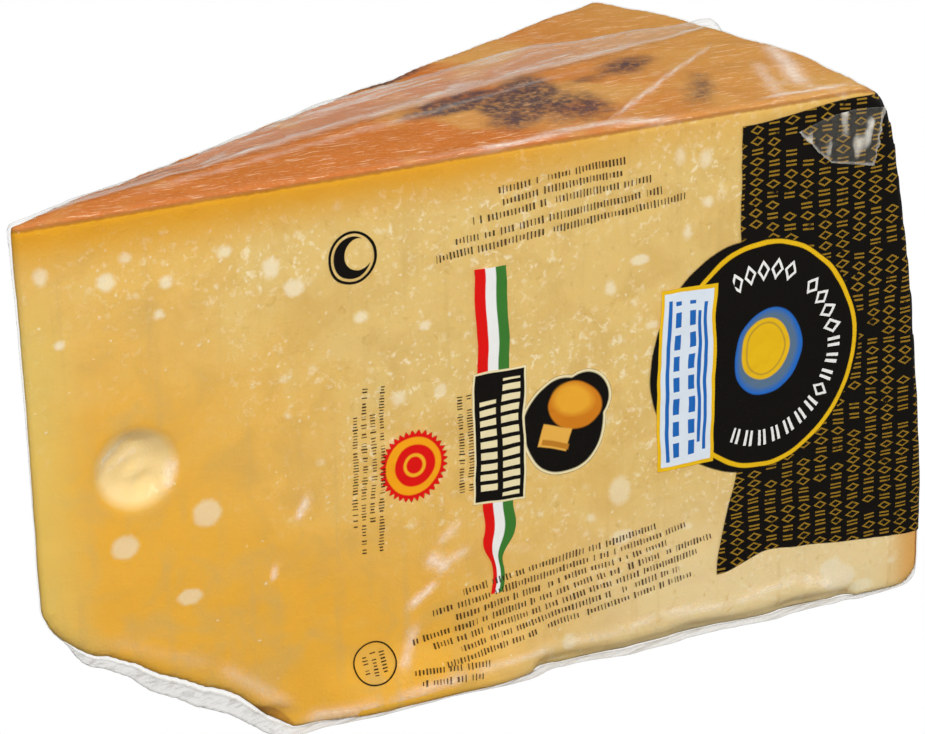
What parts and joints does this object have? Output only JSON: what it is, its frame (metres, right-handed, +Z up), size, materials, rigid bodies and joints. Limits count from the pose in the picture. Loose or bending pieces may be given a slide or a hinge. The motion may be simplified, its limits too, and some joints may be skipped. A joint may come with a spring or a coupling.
{
  "type": "cheese wedge",
  "caption": "Wedge of hard grana cheese with its rind, shrunk into a printed clear vacuum pack with a welded flange all round.",
  "frame": {"origin": "centre of the box's underside, on the surface that the wedge stands on", "axes": "+X from the thin tip towards the bulged rim rind, +Z up towards the flat rind, -Y out of the printed cut face"},
  "size_m": [0.212, 0.0992, 0.1281],
  "materials": {
    "cheese": "pale granular straw-yellow paste, amber towards the tip and the rind, orange-brown rind",
    "printed_film": "clear glossy shrunk film with a black and gold panel and small opaque marks printed on it",
    "clear_film": "clear glossy shrunk film, faintly hazy where it creases"
  },
  "bodies": {
    "root": {"cheese_wedge": "cheese", "film_front_web": "printed_film", "film_back_web": "clear_film"}
  },
  "joints": []
}
